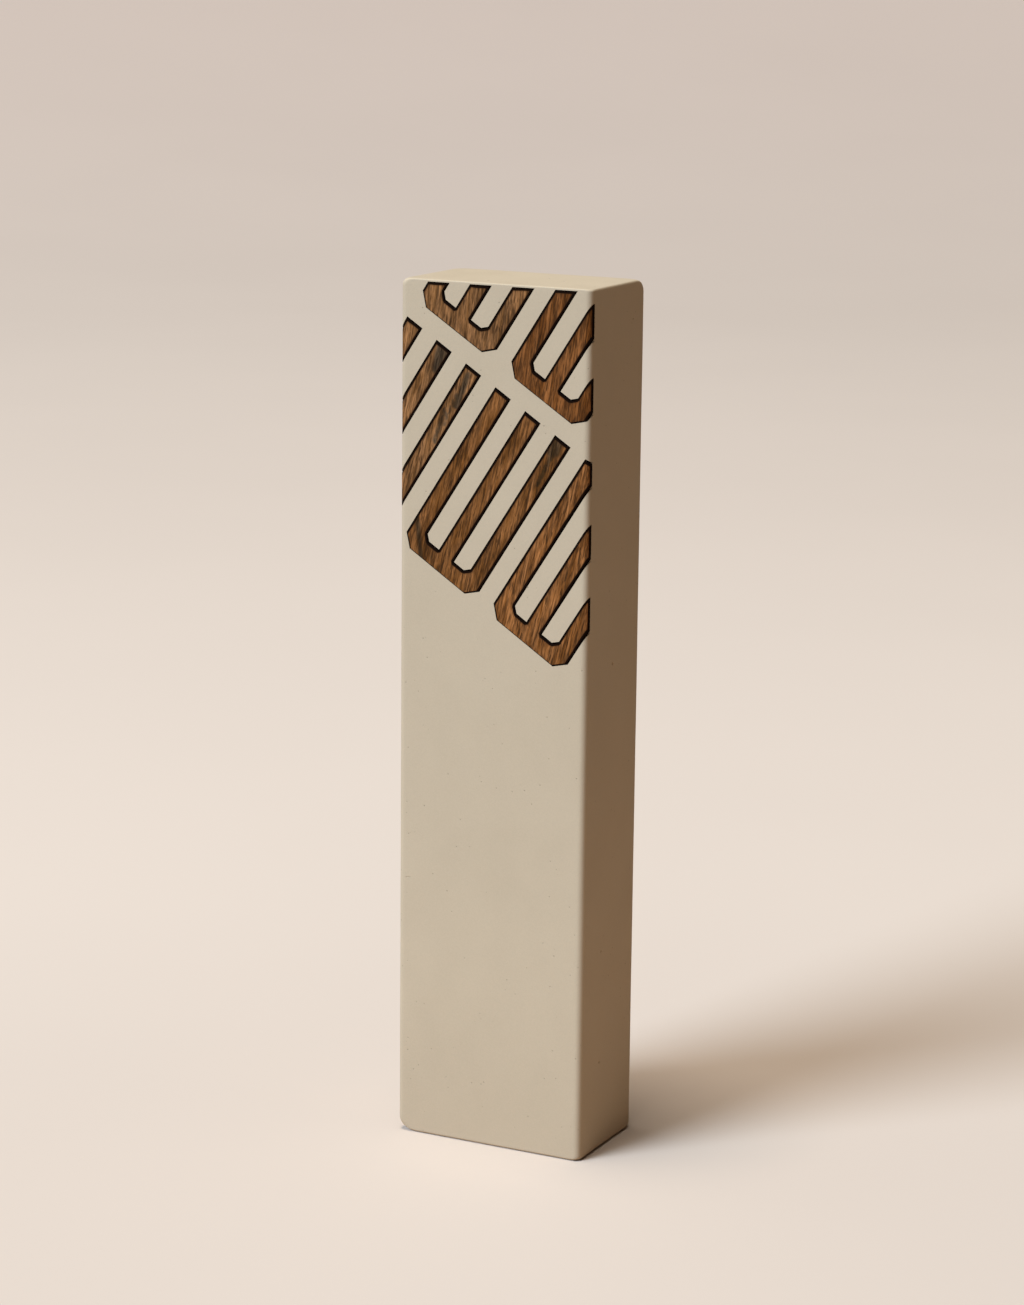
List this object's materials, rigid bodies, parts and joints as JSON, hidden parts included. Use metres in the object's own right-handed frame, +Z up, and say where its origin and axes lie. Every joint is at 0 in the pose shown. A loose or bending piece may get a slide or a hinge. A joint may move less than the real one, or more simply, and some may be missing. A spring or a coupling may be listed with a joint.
{
  "type": "mezuzah case",
  "caption": "Slim upright cast concrete case with slanting walnut comb inlays, a bore for a rolled parchment closed by a stopper in the base, and a taped back for a doorpost.",
  "frame": {"origin": "centre of the base, where the case stands", "axes": "+Z up along the case, -Y out of the inlaid front face, +X to the right seen from the front"},
  "size_m": [0.0286, 0.0172, 0.12],
  "materials": {
    "concrete": "matte cast concrete",
    "walnut": "oiled, with laser-darkened edges",
    "silicone": "matte",
    "parchment": "matte",
    "clear_film": "clear",
    "foam": "matte closed-cell foam",
    "liner_paper": "waxed"
  },
  "bodies": {
    "case": {"case_body": "concrete", "inlay_upper_left": "walnut", "inlay_upper_right": "walnut", "inlay_middle": "walnut", "inlay_lower_right": "walnut", "inlay_bar_short": "walnut", "inlay_bar_medium": "walnut", "inlay_bar_long": "walnut", "upper_tape": "foam", "upper_tape_liner": "liner_paper", "lower_tape": "foam", "lower_tape_liner": "liner_paper"},
    "stopper": {"stopper": "silicone"},
    "scroll": {"scroll": "parchment", "scroll_sleeve": "clear_film"}
  },
  "joints": [
    {"name": "stopper_slide", "type": "slide", "parent": "case", "child": "stopper", "axis": [0, 0, -1], "range_m": [0, 0.15]},
    {"name": "scroll_slide", "type": "slide", "parent": "case", "child": "scroll", "axis": [0, 0, -1], "range_m": [0, 0.12]}
  ],
  "couplings": [
    {"joint": "scroll_slide", "follows": "stopper_slide", "ratio": 0.8}
  ]
}
